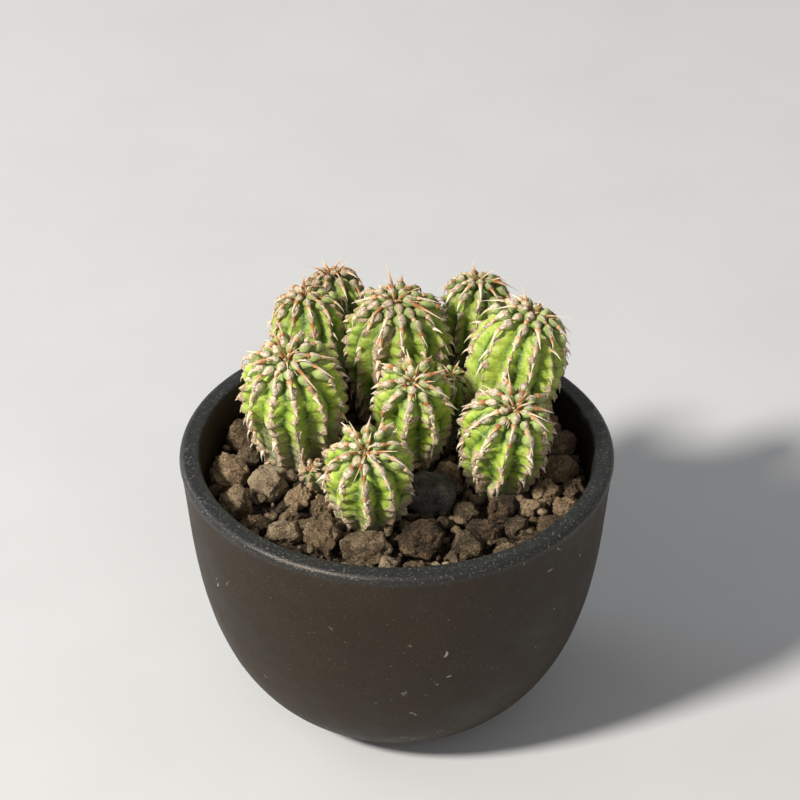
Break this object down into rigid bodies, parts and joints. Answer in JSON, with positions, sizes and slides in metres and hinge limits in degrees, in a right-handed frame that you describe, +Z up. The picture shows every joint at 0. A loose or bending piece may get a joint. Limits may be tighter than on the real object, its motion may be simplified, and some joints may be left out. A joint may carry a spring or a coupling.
{
  "type": "potted euphorbia",
  "caption": "Clump of short ribbed succulent stems with dry leaf tips, planted in soil under loose gravel in a round cup-shaped pot with a drain hole.",
  "frame": {"origin": "centre of the pot's underside, on the surface that the pot stands on", "axes": "+Z up along the pot's axis; -Y is the front, the side with the most open gravel; +X is to the right seen from the front"},
  "size_m": [0.11, 0.11, 0.1032],
  "materials": {
    "pot": "matt, fine speckle, a few pale scuffs",
    "soil": "dark crumbly soil",
    "stem": "fleshy green with corky rib edges and dry tan leaf tips",
    "dry_bud": "dry and corky",
    "stone_brown": "rough, porous",
    "stone_pale": "rough, porous",
    "stone_dark": "rough, porous",
    "stone_slate": "smooth, fine grained"
  },
  "bodies": {
    "root": {"pot": "pot", "soil": "soil", "stem_left": "stem", "stem_front": "stem", "stem_middle": "stem", "stem_front_right": "stem", "stem_right": "stem", "stem_centre_back": "stem", "stem_back_right": "stem", "stem_back_left": "stem", "stem_far_back": "stem", "stem_small": "stem", "stem_bud": "dry_bud", "stone_01": "stone_pale", "stone_02": "stone_brown", "stone_03": "stone_dark", "stone_04": "stone_brown", "stone_05": "stone_pale", "stone_06": "stone_dark", "stone_07": "stone_brown", "stone_08": "stone_brown", "stone_09": "stone_brown", "stone_10": "stone_pale", "stone_11": "stone_slate", "stone_12": "stone_brown", "stone_13": "stone_pale", "stone_14": "stone_brown", "stone_15": "stone_pale", "stone_16": "stone_brown", "stone_17": "stone_dark", "stone_18": "stone_brown", "stone_19": "stone_brown", "stone_20": "stone_pale", "stone_21": "stone_brown", "stone_22": "stone_brown", "stone_23": "stone_brown", "stone_24": "stone_brown", "stone_25": "stone_brown", "stone_26": "stone_dark", "stone_27": "stone_brown", "stone_28": "stone_brown", "stone_29": "stone_pale", "stone_30": "stone_brown", "stone_31": "stone_brown", "stone_32": "stone_brown", "stone_33": "stone_dark", "stone_34": "stone_brown", "stone_35": "stone_brown", "stone_36": "stone_pale", "stone_37": "stone_brown", "stone_38": "stone_brown", "stone_39": "stone_dark", "stone_40": "stone_brown", "stone_41": "stone_brown", "stone_42": "stone_dark", "stone_43": "stone_dark", "stone_44": "stone_brown", "stone_45": "stone_dark"}
  },
  "joints": []
}
